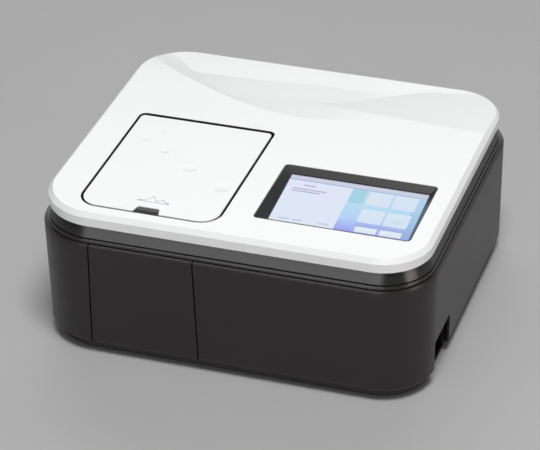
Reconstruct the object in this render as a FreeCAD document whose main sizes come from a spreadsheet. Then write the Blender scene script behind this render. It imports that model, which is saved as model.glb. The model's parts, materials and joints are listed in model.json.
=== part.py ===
"""Benchtop spectrophotometer: a parametric assembly of separate pieces, one STEP file each.

Units are millimetres.  The origin is on the bench under the middle of the instrument,
+X points to the operator's right, +Y to the rear and +Z up.
"""
import FreeCAD, Part
import Sketcher
import math
import os

from FreeCAD import Placement, Rotation, Vector

DIMENSIONS = {
    # white top cover
    "plate_width": 430, "plate_depth": 379, "plate_top": 175, "plate_bottom": 160,
    "plate_chamfer": 4.9, "plate_skin": 4, "plate_rim": 7,
    "corner_front_right": 54, "corner_rear_right": 56, "corner_rear_left": 58,
    "corner_front_left": 65,
    # black frame under it
    "frame_proud": 2.6, "shoulder_inset": 4, "frame_bottom": 141, "bead_top": 144.4,
    "groove_top": 146.2, "groove_deep": 1, "frame_wall": 5,
    # black casing
    "body_width": 442, "body_depth": 391, "corner_grow": 5, "wall": 3,
    "casing_top": 140, "casing_crown": 135.5, "crown_inset": 2.2, "casing_bottom": 13,
    "casing_taper": 2.1, "casing_roll": 5, "skirt_inset": 8, "base_bottom": 2.5,
    # grooves beside the front panel
    "groove_width": 1.5, "panel_left": -148.2, "panel_right": -31.1, "panel_flare": 2.6,
    # sample lid and its hinge
    "lid_left": -167.95, "lid_right": -14.3, "lid_front": -168.9, "lid_back": 27.1,
    "lid_gap": 3.2, "lid_front_gap": 2.9, "lid_back_gap": 5.4, "lid_skin": 3.5, "lid_cover": 1.6,
    "lid_front_radius": 21, "lid_back_radius": 5, "lip": 1, "lip_drop": 0.4,
    "hinge_setback": 15.4, "hinge_height": 168, "pin_radius": 1.5, "eye_radius": 3.2,
    # sample compartment
    "tub_left": -158, "tub_right": -24, "tub_front": -160, "tub_back": -4,
    "tub_bottom": 45, "tub_top": 158, "beam_y": -73, "beam_z": 94,
    "carriage_y": -82, "carriage_length": 74, "cell_pitch": 18, "cell_size": 12.6,
    "rod_z": 62, "rod_radius": 3, "rod_offset": 36, "screw_radius": 3,
    # display
    "screen_left": 19.7, "screen_right": 191.9, "screen_front": -144.7, "screen_back": -29.7,
    "screen_drop": 8.5, "screen_tilt": 4.5, "picture_width": 154.2, "picture_depth": 85.9,
    "picture_x": 107, "picture_y": -81.7,
    # optics
    "bench_bottom": 34, "bench_top": 40, "mono_left": 0, "mono_right": 120,
    "mono_front": -150, "mono_back": 40, "mono_bottom": 70, "mono_top": 120,
    "grating_x": 85, "grating_y": -100, "wheel_x": 128, "wheel_y": -18, "wheel_radius": 26,
    "lamp_x": 177, "mirror_x": 163, "mirror_y": 0,
    # rear panel and its fittings
    "rear_y": 190.3, "rear_skin": 2, "fan_x": 100, "fan_z": 74, "fan_radius": 28,
    "inlet_x": -120, "inlet_z": 44, "switch_x": -82, "switch_z": 44,
}


class Size:
    """A number that also carries the sheet expression it comes from."""

    def __init__(self, value, text=None):
        self.value = float(value)
        self.text = text if text else "(%.6f)" % self.value

    def _join(self, other, sign, value):
        return Size(value, "(%s %s %s)" % (self.text, sign, as_size(other).text))

    def __add__(self, other):
        return self._join(other, "+", self.value + as_size(other).value)

    def __sub__(self, other):
        return self._join(other, "-", self.value - as_size(other).value)

    def __mul__(self, other):
        return self._join(other, "*", self.value * as_size(other).value)

    def __truediv__(self, other):
        return self._join(other, "/", self.value / as_size(other).value)

    def __neg__(self):
        return Size(-self.value, "(0 - %s)" % self.text)


def as_size(value):
    return value if isinstance(value, Size) else Size(value)


class Sheet:
    """The driving dimensions, one spreadsheet cell each."""

    def __init__(self, doc):
        sheet = doc.addObject("Spreadsheet::Sheet", "dims")
        for row, (name, value) in enumerate(DIMENSIONS.items(), start=1):
            sheet.set("A%d" % row, name)
            sheet.set("B%d" % row, str(value))
            sheet.setAlias("B%d" % row, name)
            setattr(self, name, Size(value, "dims." + name))


doc = FreeCAD.newDocument("spectrophotometer")
P = Sheet(doc)
doc.recompute()
NODES = []
ZERO = Size(0)


# ---------------------------------------------------------------- helpers

def drive(obj, prop, value):
    """Binds one property to the sheet."""
    obj.setExpression(prop, as_size(value).text)


def move(obj, x, y, z, prop="Placement"):
    """Puts an object at a point that follows the sheet."""
    for axis, value in zip("xyz", (x, y, z)):
        drive(obj, ".%s.Base.%s" % (prop, axis), value)


def node(obj, label):
    """Marks an object as one finished piece."""
    obj.Label = label
    NODES.append(obj)
    return obj


def block(name, x0, x1, y0, y1, z0, z1):
    """A box between two corners."""
    x0, x1, y0, y1, z0, z1 = [as_size(v) for v in (x0, x1, y0, y1, z0, z1)]
    obj = doc.addObject("Part::Box", name)
    drive(obj, "Length", x1 - x0)
    drive(obj, "Width", y1 - y0)
    drive(obj, "Height", z1 - z0)
    move(obj, x0, y0, z0)
    return obj


TURNS = {
    "X": Rotation(Vector(0, 1, 0), 90),
    "Y": Rotation(Vector(1, 0, 0), -90),
    "Z": Rotation(),
}


def rod(name, radius, length, x, y, z, axis="Z"):
    """A cylinder that starts at a point and runs along +X, +Y or +Z."""
    obj = doc.addObject("Part::Cylinder", name)
    drive(obj, "Radius", radius)
    drive(obj, "Height", length)
    obj.Placement = Placement(Vector(), TURNS[axis])
    move(obj, x, y, z)
    return obj


def fuse(name, *shapes):
    obj = doc.addObject("Part::MultiFuse", name)
    obj.Shapes = list(shapes)
    obj.Refine = True
    return obj


def group(name, *shapes):
    obj = doc.addObject("Part::Compound", name)
    obj.Links = list(shapes)
    return obj


def cut(name, base, *tools):
    obj = doc.addObject("Part::Cut", name)
    obj.Base = base
    obj.Tool = tools[0] if len(tools) == 1 else group(name + "_tools", *tools)
    obj.Refine = True
    return obj


def edges_where(shape, test):
    """Names of the edges whose middle and direction pass a test."""
    names = []
    for number, edge in enumerate(shape.Edges, start=1):
        middle = edge.valueAt((edge.FirstParameter + edge.LastParameter) / 2)
        start, end = edge.valueAt(edge.FirstParameter), edge.valueAt(edge.LastParameter)
        if test(middle, end - start):
            names.append("Edge%d" % number)
    return names


def rounded(name, base, radius, test):
    """Rounds the chosen edges of any solid."""
    doc.recompute()
    obj = doc.addObject("Part::Fillet", name)
    obj.Base = base
    numbers = [int(edge[4:]) for edge in edges_where(base.Shape, test)]
    value = as_size(radius).value
    obj.Edges = [(number, value, value) for number in numbers]
    return obj


def upright(middle, span):
    return abs(span.z) > 1 and math.hypot(span.x, span.y) < 0.01


def plane_of(body, role="XY_Plane"):
    return [f for f in body.Origin.OriginFeatures if f.Role == role][0]


def four(radii):
    """One radius for each corner: front right, rear right, rear left and front left."""
    return [as_size(radius) for radius in (radii if isinstance(radii, list) else [radii] * 4)]


def grown(radii, amount):
    """The radii of the same outline, moved outwards by an amount."""
    return [radius + amount for radius in four(radii)]


def loop(sketch, width, depth, radii):
    """Adds a rounded rectangle, centred on the sketch origin and fully constrained."""
    width, depth, radii = as_size(width), as_size(depth), four(radii)
    up = Vector(0, 0, 1)
    first = len(sketch.Geometry)
    arcs = []
    for radius, (sx, sy, start) in zip(radii, ((1, -1, -90), (1, 1, 0), (-1, 1, 90), (-1, -1, 180))):
        centre = Vector(sx * (width.value / 2 - radius.value), sy * (depth.value / 2 - radius.value), 0)
        circle = Part.Circle(centre, up, radius.value)
        arcs.append(Part.ArcOfCircle(circle, math.radians(start), math.radians(start + 90)))
    for arc, following in zip(arcs, arcs[1:] + arcs[:1]):
        sketch.addGeometry(arc, False)
        sketch.addGeometry(Part.LineSegment(arc.EndPoint, following.StartPoint), False)
    for step in range(4):
        arc, line, following = first + 2 * step, first + 2 * step + 1, first + (2 * step + 2) % 8
        add_constraint(sketch, "Tangent", arc, 2, line, 1)
        add_constraint(sketch, "Tangent", line, 2, following, 1)
        add_constraint(sketch, "Horizontal" if step % 2 else "Vertical", line)
        add_driven(sketch, radii[step], "Radius", arc)
    add_driven(sketch, width / 2, "DistanceX", -1, 1, first + 1, 1)
    add_driven(sketch, width / 2, "DistanceX", first + 5, 1, -1, 1)
    add_driven(sketch, depth / 2, "DistanceY", -1, 1, first + 3, 1)
    add_driven(sketch, depth / 2, "DistanceY", first + 7, 1, -1, 1)


def add_constraint(sketch, kind, *where):
    return sketch.addConstraint(Sketcher.Constraint(kind, *where))


def add_driven(sketch, size, kind, *where):
    """Adds a dimension and binds it to the sheet."""
    index = add_constraint(sketch, kind, *where, size.value)
    drive(sketch, "Constraints[%d]" % index, size)


def sketch_on(body, name, x, y, z):
    sketch = body.newObject("Sketcher::SketchObject", name)
    sketch.AttachmentSupport = [(plane_of(body), "")]
    sketch.MapMode = "FlatFace"
    move(sketch, x, y, z, "AttachmentOffset")
    return sketch


def slab(name, width, depth, radius, z0, z1, x=ZERO, y=ZERO):
    """A body that starts as a rounded slab."""
    body = doc.addObject("PartDesign::Body", name)
    sketch = sketch_on(body, name + "_outline", x, y, z0)
    loop(sketch, width, depth, radius)
    pad = body.newObject("PartDesign::Pad", name + "_pad")
    pad.Profile = sketch
    drive(pad, "Length", as_size(z1) - z0)
    return body


def ring(body, name, width, depth, radii, inset, z0, z1, x=ZERO, y=ZERO):
    """Adds a rounded ring to a body."""
    sketch = sketch_on(body, name + "_outline", x, y, z0)
    loop(sketch, width, depth, radii)
    loop(sketch, as_size(width) - as_size(inset) * 2, as_size(depth) - as_size(inset) * 2,
         grown(radii, -as_size(inset)))
    pad = body.newObject("PartDesign::Pad", name + "_pad")
    pad.Profile = sketch
    drive(pad, "Length", as_size(z1) - z0)
    return pad


def pocket(body, name, width, depth, radius, z0, z1, x=ZERO, y=ZERO):
    """Cuts a rounded hollow from z1 down to z0."""
    sketch = sketch_on(body, name + "_outline", x, y, z1)
    loop(sketch, width, depth, radius)
    obj = body.newObject("PartDesign::Pocket", name)
    obj.Profile = sketch
    drive(obj, "Length", as_size(z1) - z0)
    return obj


def round_body(body, name, radius, test):
    """Rounds the chosen edges of a body's tip."""
    doc.recompute()
    base = body.Tip
    obj = body.newObject("PartDesign::Fillet", name)
    obj.Base = (base, edges_where(base.Shape, test))
    drive(obj, "Radius", radius)
    return obj


def chamfer_body(body, name, across, down, test):
    """Bevels the chosen edges of a body's tip, with its own width and height."""
    doc.recompute()
    base = body.Tip
    obj = body.newObject("PartDesign::Chamfer", name)
    obj.Base = (base, edges_where(base.Shape, test))
    obj.ChamferType = "Two distances"
    drive(obj, "Size", down)
    drive(obj, "Size2", across)
    return obj


def outline(name, width, depth, radius, z):
    """A free rounded outline at one height, for a loft."""
    sketch = doc.addObject("Sketcher::SketchObject", name)
    loop(sketch, width, depth, radius)
    move(sketch, 0, 0, z)
    return sketch


def loft(name, sections, ruled=True):
    obj = doc.addObject("Part::Loft", name)
    obj.Sections = sections
    obj.Solid = True
    obj.Ruled = ruled
    return obj


def polygon(name, points):
    obj = doc.addObject("Part::Polygon", name)
    obj.Nodes = [Vector(*point) for point in points]
    obj.Close = True
    return obj


def prism(name, points, direction):
    """Extrudes a closed polygon along a vector."""
    obj = doc.addObject("Part::Extrusion", name)
    obj.Base = polygon(name + "_outline", points)
    obj.DirMode = "Custom"
    obj.Dir = Vector(*direction)
    obj.LengthFwd = Vector(*direction).Length
    obj.Solid = True
    return obj


# ---------------------------------------------------------------- covers and casing

def plate_radii(amount=0):
    """Corner radii of the top cover's outline, moved outwards by an amount."""
    corners = [P.corner_front_right, P.corner_rear_right, P.corner_rear_left, P.corner_front_left]
    return grown(corners, amount)


def casing_radii(inset=0):
    """Corner radii of the casing's outline, moved inwards by an amount."""
    return plate_radii(P.corner_grow - inset)


def lid_slab(name, sides, front, back, z0, z1):
    """A slab with the sample lid's outline, larger by its own amount on each side."""
    sides, front, back = as_size(sides), as_size(front), as_size(back)
    width = P.lid_right - P.lid_left + sides * 2
    depth = P.lid_back + back - P.lid_front + front
    middle_x = (P.lid_left + P.lid_right) / 2
    middle_y = (P.lid_front - front + P.lid_back + back) / 2
    front_radius, back_radius = P.lid_front_radius + sides, P.lid_back_radius + sides
    return slab(name, width, depth, [front_radius, back_radius, back_radius, front_radius],
                z0, z1, middle_x, middle_y)


SWOOSH = [
    # x, then y and depth of each crease from the front one to the rear edge
    (-216, [(166, 0), (182, 1.8), (190, 2.2), (194, 2.2), (198, 2.2)]),
    (-178, [(141, 0), (157, 1.6), (169, 2.3), (173, 2.3), (197, 2.2)]),
    (-150, [(124.5, 0), (128, 0.4), (131, 0.75), (143, 1.9), (197, 2.1)]),
    (-109, [(103, 0), (107, 0.4), (113, 0.8), (143, 2.1), (197, 2.2)]),
    (-64, [(84, 0), (92, 0.5), (109, 1.25), (145, 2.35), (197, 2.35)]),
    (-25, [(74, 0), (100, 1.0), (110, 1.4), (149, 2.4), (197, 2.35)]),
    (11, [(71.5, 0), (107, 1.15), (111, 1.35), (153, 2.35), (197, 2.3)]),
    (47, [(78, 0), (104.5, 0.5), (123, 1.45), (151, 2.2), (197, 2.15)]),
    (86, [(88, 0), (102.5, 0.15), (150, 2.35), (165, 2.4), (197, 2.1)]),
    (125, [(94, 0), (100, 0.05), (171, 2.8), (178, 2.8), (197, 2.4)]),
    (169, [(92, 0), (97, 0.04), (179, 2.9), (186, 2.9), (197, 2.7)]),
    (216, [(92, 0), (96.5, 0.04), (188, 2.9), (193, 2.9), (198, 2.9)]),
]
SWOOSH_STEPS = 3


def smooth_between(before, start, end, after, share):
    """A point on the Catmull-Rom curve from start to end."""
    square, cube = share ** 2, share ** 3
    return (start * (1 - 2.5 * square + 1.5 * cube) + end * (0.5 * share + 2 * square - 1.5 * cube)
            + before * (square - 0.5 * share - 0.5 * cube) + after * (0.5 * cube - 0.5 * square))


def swoosh_rows():
    """The creases at every step across the cover, as flat lists: x, y, depth, y, depth and so on."""
    rows = [[x] + [value for crease in creases for value in crease] for x, creases in SWOOSH]
    padded = [rows[0]] + rows + [rows[-1]]
    fine = []
    for number in range(len(rows) - 1):
        window = padded[number:number + 4]
        for step in range(SWOOSH_STEPS):
            share = step / SWOOSH_STEPS
            row = [smooth_between(*values, share) for values in zip(*window)]
            row[0] = rows[number][0] + (rows[number + 1][0] - rows[number][0]) * share
            fine.append(row)
    return fine + [rows[-1]]


def swoosh_tool():
    """The shallow twisting hollows along the rear of the top cover."""
    top = P.plate_top.value
    sections = []
    for number, row in enumerate(swoosh_rows()):
        x, ys, depths = row[0], row[1::2], row[2::2]
        points = [(x, y, top - max(0, depth)) for y, depth in zip(ys, depths)]
        points += [(x, ys[-1], top + 6), (x, ys[0], top + 6)]
        sections.append(polygon("swoosh_section_%d" % number, points))
    return loft("swoosh_hollow", sections)


def top_plate():
    body = slab("plate_blank", P.plate_width, P.plate_depth, plate_radii(), P.plate_bottom, P.plate_top)
    chamfer_body(body, "plate_bevel", P.plate_chamfer, P.plate_chamfer,
                 lambda m, s: m.z > P.plate_top.value - 0.1)
    pocket(body, "plate_hollow", P.plate_width - P.plate_rim * 2, P.plate_depth - P.plate_rim * 2,
           plate_radii(-P.plate_rim), P.plate_bottom, P.plate_top - P.plate_skin - 3)
    inner_rim = P.plate_rim + 2
    pocket(body, "plate_hollow_upper", P.plate_width - inner_rim * 2, P.plate_depth - inner_rim * 2,
           plate_radii(-inner_rim), P.plate_top - P.plate_skin - 3.1, P.plate_top - P.plate_skin)
    width, depth = P.screen_right - P.screen_left, P.screen_back - P.screen_front
    pocket(body, "screen_opening", width, depth, 5, P.plate_bottom, P.plate_top + 1,
           (P.screen_left + P.screen_right) / 2, (P.screen_front + P.screen_back) / 2)
    lid_tool = lid_slab("lid_opening", P.lid_gap, P.lid_front_gap, P.lid_back_gap,
                        P.plate_bottom, P.plate_top + 1)
    node(cut("plate_cut", cut("plate_with_swoosh", body, swoosh_tool()), lid_tool), "top_plate")


def top_frame():
    """The black ring under the top cover: a steep shoulder with a groove above its bead."""
    proud = P.frame_proud
    width, depth = P.plate_width + proud * 2, P.plate_depth + proud * 2
    across = proud + P.shoulder_inset
    down = P.plate_bottom - P.frame_bottom - 0.6
    body = slab("frame_blank", width, depth, plate_radii(proud), P.frame_bottom, P.plate_bottom)
    chamfer_body(body, "frame_shoulder", across, down, lambda m, s: m.z > P.plate_bottom.value - 0.1)
    inside = P.frame_wall
    pocket(body, "frame_lower", width - inside * 2, depth - inside * 2, plate_radii(proud - inside),
           P.frame_bottom, P.plate_bottom - 8)
    land = across + 8
    pocket(body, "frame_window", width - land * 2, depth - land * 2, plate_radii(proud - land),
           P.frame_bottom, P.plate_bottom)
    tongue = P.frame_wall - 2.4
    ring(body, "frame_tongue", width - tongue * 2, depth - tongue * 2, plate_radii(proud - tongue), 2.4,
         P.frame_bottom - 5, P.frame_bottom + 1)
    groove = slab("groove_outer", width + 4, depth + 4, plate_radii(proud + 2), P.bead_top, P.groove_top)
    shoulder_at_groove = across * (P.groove_top - P.frame_bottom) / down
    core = shoulder_at_groove + P.groove_deep
    pocket(groove, "groove_inner", width - core * 2, depth - core * 2, plate_radii(proud - core),
           P.bead_top - 0.1, P.groove_top + 0.1)
    node(cut("frame_cut", body, groove), "top_frame")


def casing_block(name, inset, top, crown, low):
    """The tapered body of the casing, with its rolled-in top edge, set in all round by inset."""
    sections = []
    for label, extra, z in (("top", P.crown_inset, top), ("crown", ZERO, crown),
                            ("low", P.casing_taper, low)):
        total = as_size(inset) + extra
        sections.append(outline("%s_%s" % (name, label), P.body_width - total * 2,
                                P.body_depth - total * 2, casing_radii(total), z))
    return loft(name, sections)


def casing_shell():
    """The tapered black wall, open at the top, with a narrow flange round its floor."""
    solid = casing_block("casing_block", 0, P.casing_top, P.casing_crown, P.casing_bottom)
    outer = rounded("casing_outer", solid, P.casing_roll, lambda m, s: m.z < P.casing_bottom.value + 0.1)
    hollow = casing_block("casing_hollow", P.wall, P.casing_top + 1, P.casing_crown,
                          P.casing_bottom + P.wall)
    floor = slab("casing_floor_hole", P.body_width - 32, P.body_depth - 32, casing_radii(16),
                 P.casing_bottom - 1, P.casing_bottom + 6)
    return cut("casing_shell", outer, hollow, floor)


def panel_prism(name, spread):
    """The flared outline of the front panel, widened on each side by spread."""
    top, low = P.casing_top.value + 3, P.casing_bottom.value - 2
    left, right, flare = P.panel_left.value, P.panel_right.value, P.panel_flare.value
    front = -P.body_depth.value / 2 - 5
    points = [
        (left - spread, front, top), (right + spread, front, top),
        (right + flare + spread, front, low), (left - flare - spread, front, low),
    ]
    return prism(name, points, (0, 22, 0))


def side_port_block(name, grow):
    """The recess low on the right-hand side, near the front."""
    x = P.body_width / 2
    base = block(name, x - 22 - as_size(grow), x + 5, Size(-140) - grow, Size(-80.5) + grow,
                 Size(8), Size(51) + grow)
    return rounded(name + "_round", base, 5,
                   lambda m, s: abs(s.x) > 1 and m.z > 50 and m.y > -85)


def casing_and_front_panel():
    shell = casing_shell()
    half = P.groove_width.value / 2
    rear = block("rear_opening", -146, 146, P.body_depth / 2 - 12, P.body_depth / 2 + 5, 20, 128)
    node(cut("casing_cut", shell, panel_prism("panel_hole", half),
             side_port_block("port_hole", 0), rear), "outer_casing")
    panel = doc.addObject("Part::Common", "panel_common")
    panel.Base = shell
    panel.Tool = panel_prism("panel_body", -half)
    panel.Refine = True
    node(panel, "front_panel")


def side_port_pocket():
    """The plastic lining of the side recess."""
    x = P.body_width / 2
    outer = block("port_liner", x - 24, x - 5.1 - P.casing_taper, -142.4, -78.2, 15.8, 53.2)
    inner = block("port_space", x - 22, x + 5, -140, -80.5, 8, 51)
    hole = block("port_window", x - 30, x - 18, -112.2, -97.8, 26.9, 33.1)
    lower = block("port_floor", x - 30, x + 5, -150, -70, 8, 16.2)
    node(cut("port_liner_cut", outer, inner, hole, lower), "side_port_pocket")


def usb_side_port():
    x = P.body_width / 2
    shell = block("usb_shell", x - 36, x - 20, -112, -98, 27, 33)
    mouth = block("usb_mouth", x - 34, x - 19, -111.4, -98.6, 27.6, 32.4)
    tongue = block("usb_tongue", x - 34.5, x - 21, -110.4, -99.6, 30.4, 31.8)
    node(fuse("usb_fused", cut("usb_hollow", shell, mouth), tongue), "usb_side_port")


FOOT_POINTS = [(-165, -145), (165, -145), (165, 145), (-165, 145)]
STAND_POINTS = [(-148, -125), (148, -125), (150, 72), (-150, 72)]


def base_pan():
    inset = P.casing_taper + P.skirt_inset
    width, depth = P.body_width - inset * 2, P.body_depth - inset * 2
    body = slab("pan_blank", width, depth, casing_radii(inset), P.base_bottom, P.casing_bottom)
    round_body(body, "pan_roll", 2, lambda m, s: m.z < P.base_bottom.value + 0.1)
    pocket(body, "pan_hollow", width - P.wall * 2, depth - P.wall * 2, casing_radii(inset + P.wall),
           P.base_bottom + P.wall, P.casing_bottom)
    relief = block("port_relief", P.body_width / 2 - 25, P.body_width / 2, -144, -76, 5.6, 20)
    holes = []
    for number, (x, y) in enumerate(STAND_POINTS):
        holes.append(rod("pan_hole_%d" % number, 1.6, 10, x, y, P.base_bottom - 1))
        holes.append(rod("pan_sink_%d" % number, 3, 2.7, x, y, P.base_bottom - 1))
    node(cut("pan_cut", body, relief, *holes), "base_pan")


def rubber_feet():
    feet = []
    for number, (x, y) in enumerate(FOOT_POINTS):
        disc = rod("foot_disc_%d" % number, 10, P.base_bottom, x, y, 0)
        feet.append(rounded("foot_%d" % number, disc, 0.8, lambda m, s: m.z < 0.1))
    node(group("feet_group", *feet), "rubber_feet")


def case_screws():
    screws = []
    for number, (x, y) in enumerate(STAND_POINTS):
        head = rod("screw_head_%d" % number, 2.8, 1.5, x, y, P.base_bottom + 0.2)
        shank = rod("screw_shank_%d" % number, 1.5, 24, x, y, P.base_bottom + 0.2)
        slot = block("screw_slot_%d" % number, x - 2.2, x + 2.2, y - 0.4, y + 0.4,
                     P.base_bottom, P.base_bottom + 0.9)
        screws.append(cut("screw_%d" % number, fuse("screw_body_%d" % number, head, shank), slot))
    node(group("screws_group", *screws), "case_screws")


# ---------------------------------------------------------------- sample lid

def tub_x():
    return (P.tub_left + P.tub_right) / 2


def tub_y():
    return (P.tub_front + P.tub_back) / 2


def hinge_y():
    return P.lid_back - P.hinge_setback


def finger_wedge(name, shrink, z0, z1):
    """The tapered notch for a fingertip in the middle of the lid's front edge."""
    middle = (P.lid_left.value + P.lid_right.value) / 2
    front = P.lid_front.value
    bottom, top = as_size(z0).value, as_size(z1).value
    points = [
        (middle - 15 + shrink, front - 1 + 2 * shrink, bottom),
        (middle + 15 - shrink, front - 1 + 2 * shrink, bottom),
        (middle + 12 - shrink, front + 11 - shrink, bottom),
        (middle - 12 + shrink, front + 11 - shrink, bottom),
    ]
    base = prism(name, points, (0, 0, top - bottom))
    return rounded(name + "_round", base, 2.5, lambda m, s: upright(m, s) and m.y > front + 5)


DIMPLES = [
    # x, y and radius of the row of shallow round dimples pressed into the lid
    (-124, 17, 2.6), (-131, -1, 3.2), (-146, -21.5, 5.6), (-116, -41, 6.4),
    (-77, -67.5, 8.6), (-31, -96.5, 10),
]


def sample_lid():
    skin = lid_slab("lid_cover", 0, 0, 0, P.plate_top - P.lid_cover, P.plate_top)
    notch = finger_wedge("lid_notch", 0, P.plate_top - 8, P.plate_top + 1)
    dimples = []
    for number, (x, y, radius) in enumerate(DIMPLES):
        deep = 0.3 + 0.022 * radius
        ball_radius = (radius * radius + deep * deep) / (2 * deep)
        ball = doc.addObject("Part::Sphere", "dimple_%d" % number)
        drive(ball, "Radius", ball_radius)
        move(ball, x, y, P.plate_top + ball_radius - deep)
        dimples.append(ball)
    node(cut("lid_cut", skin, notch, *dimples), "sample_lid")


def lid_finger_pull():
    low = P.plate_top - P.lid_skin
    body = finger_wedge("pull_body", 0.4, low, P.plate_top - 0.6)
    middle = (P.lid_left.value + P.lid_right.value) / 2
    scoop = rod("pull_scoop", 14, 40, middle - 20, P.lid_front - 2, P.plate_top + 11.6, "X")
    node(cut("pull_cut", body, scoop), "lid_finger_pull")


def lid_inner_pan():
    """The lid's black inner moulding: a full-size plate with a hollow plinth under it."""
    under, top = P.plate_top - P.lid_skin, P.plate_top - P.lid_cover
    plate = lid_slab("inner_plate", -0.2, -0.2, -0.2, under, top)
    plinth = slab("inner_plinth", 140, 160, 9, P.tub_top + 2, under, tub_x(), tub_y())
    pocket(plinth, "inner_hollow", 130, 150, 6, P.tub_top + 2, under - 2.5, tub_x(), tub_y())
    notch = finger_wedge("inner_notch", 0, under - 1, top + 1)
    node(cut("inner_cut", fuse("inner_fused", plate, plinth), notch), "lid_inner_pan")


def lid_lug(label, x0, x1):
    """One knuckle under the lid that turns on the hinge pin."""
    y, z = hinge_y(), P.hinge_height
    eye = rod(label + "_eye", P.eye_radius, as_size(x1) - x0, x0, y, z, "X")
    web = block(label + "_web", x0, x1, y - 3, y + 3, z, P.plate_top - P.lid_skin)
    bore = rod(label + "_bore", P.pin_radius + 0.05, 20, as_size(x0) - 5, y, z, "X")
    node(cut(label + "_cut", fuse(label + "_solid", eye, web), bore), label)


def hinge_bracket(label, x0, x1):
    """One post that holds the hinge pin."""
    y, z = hinge_y(), P.hinge_height
    eye = rod(label + "_eye", P.eye_radius, as_size(x1) - x0, x0, y, z, "X")
    post = block(label + "_post", x0, x1, y - 3, y + 3, 149, z)
    foot = block(label + "_foot", x0, x1, y - 9, y + 9, 149, 151)
    bore = rod(label + "_bore", P.pin_radius, 20, as_size(x0) - 5, y, z, "X")
    node(cut(label + "_cut", fuse(label + "_solid", eye, post, foot), bore), label)


def hinge():
    lid_lug("lid_lug_left", -143, -135)
    lid_lug("lid_lug_right", -47, -39)
    hinge_bracket("hinge_bracket_left", -150, -143.5)
    hinge_bracket("hinge_bracket_right", -38.5, -32)
    node(rod("pin_rod", P.pin_radius, 120, -151, hinge_y(), P.hinge_height, "X"), "hinge_pin")


def lid_catches():
    y = P.lid_front + 3.8
    top = P.plate_top - P.lid_skin
    magnets, strikes = [], []
    for number, x in enumerate((-132, -50)):
        magnets.append(rod("magnet_%d" % number, 2.6, 3, x, y, top - 3))
        strikes.append(block("strike_%d" % number, x - 3, x + 3, y - 2.5, y + 2.5, 149, top - 3.4))
    node(group("magnet_group", *magnets), "lid_magnets")
    node(group("strike_group", *strikes), "lid_strikes")


def lid_well():
    """The dark surround of the lid: a tray below it and a thin lip that lines the cover's opening."""
    low, under = Size(146), P.plate_top - P.plate_skin
    sides, front, back = P.lid_gap, P.lid_front_gap, P.lid_back_gap
    tray = lid_slab("well_tray", sides + 2.5, front + 2.5, back + 2.5, low, under)
    lip = lid_slab("well_lip", sides - 0.05, front - 0.05, back - 0.05, under - 1,
                   P.plate_top - P.lip_drop)
    inner = lid_slab("well_inner", sides - P.lip, front - P.lip, back - P.lip, low + 3, P.plate_top + 1)
    hole = slab("well_hole", P.tub_right - P.tub_left, P.tub_back - P.tub_front, 8,
                low - 1, low + 5, tub_x(), tub_y())
    node(cut("well_cut", fuse("well_solid", tray, lip), inner, hole), "lid_well")


# ---------------------------------------------------------------- sample compartment

def sample_chamber():
    width, depth = P.tub_right - P.tub_left, P.tub_back - P.tub_front
    body = slab("tub_blank", width, depth, 8, P.tub_bottom, P.tub_top, tub_x(), tub_y())
    pocket(body, "tub_hollow", width - P.wall * 2, depth - P.wall * 2, 5,
           P.tub_bottom + P.wall, P.tub_top, tub_x(), tub_y())
    window = rod("tub_window", 9, 150, P.tub_left - 8, P.beam_y, P.beam_z, "X")
    shaft = rod("tub_shaft_hole", P.screw_radius + 0.3, 10, tub_x(), P.tub_back - 6, P.rod_z, "Y")
    node(cut("tub_cut", body, window, shaft), "sample_chamber")


def chamber_seal():
    body = doc.addObject("PartDesign::Body", "seal_ring")
    ring(body, "seal", P.tub_right - P.tub_left, P.tub_back - P.tub_front, 8, 3,
         P.tub_top, P.tub_top + 1.7, tub_x(), tub_y())
    node(body, "chamber_seal")


def chamber_windows():
    node(rod("window_disc_a", 9, 2, P.tub_left + 0.5, P.beam_y, P.beam_z, "X"), "window_left")
    node(rod("window_disc_b", 9, 2, P.tub_right - 2.5, P.beam_y, P.beam_z, "X"), "window_right")


def cell_carriage():
    """The block that slides on two rails and holds four sample cells across the light path."""
    x, half = tub_x(), P.carriage_length / 2
    y0, y1 = P.carriage_y - half, P.carriage_y + half
    base = block("carriage_base", x - P.rod_offset - 8, x + P.rod_offset + 8,
                 y0, y1, P.rod_z - 8, P.rod_z + 8)
    tower = block("carriage_tower", x - 13, x + 13, y0, y1, P.rod_z + 8, 118)
    tower = rounded("carriage_tower_round", tower, 3, upright)
    tools = []
    for side in (-1, 1):
        tools.append(rod("rod_bore_%d" % (side + 1), P.rod_radius + 0.05, 100,
                         x + P.rod_offset * side, y0 - 5, P.rod_z, "Y"))
    tools.append(rod("nut_bore", 6, 100, x, y0 - 5, P.rod_z, "Y"))
    half_cell = P.cell_size / 2
    for number in range(4):
        y = P.carriage_y + P.cell_pitch * (number - 1.5)
        tools.append(block("cell_well_%d" % number, x - half_cell, x + half_cell,
                           y - half_cell, y + half_cell, 78, 120))
        tools.append(block("cell_slit_%d" % number, x - 19, x + 21, y - 3, y + 3,
                           P.beam_z - 6, P.beam_z + 6))
    node(cut("carriage_cut", fuse("carriage_solid", base, tower), *tools), "cell_carriage")


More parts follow.
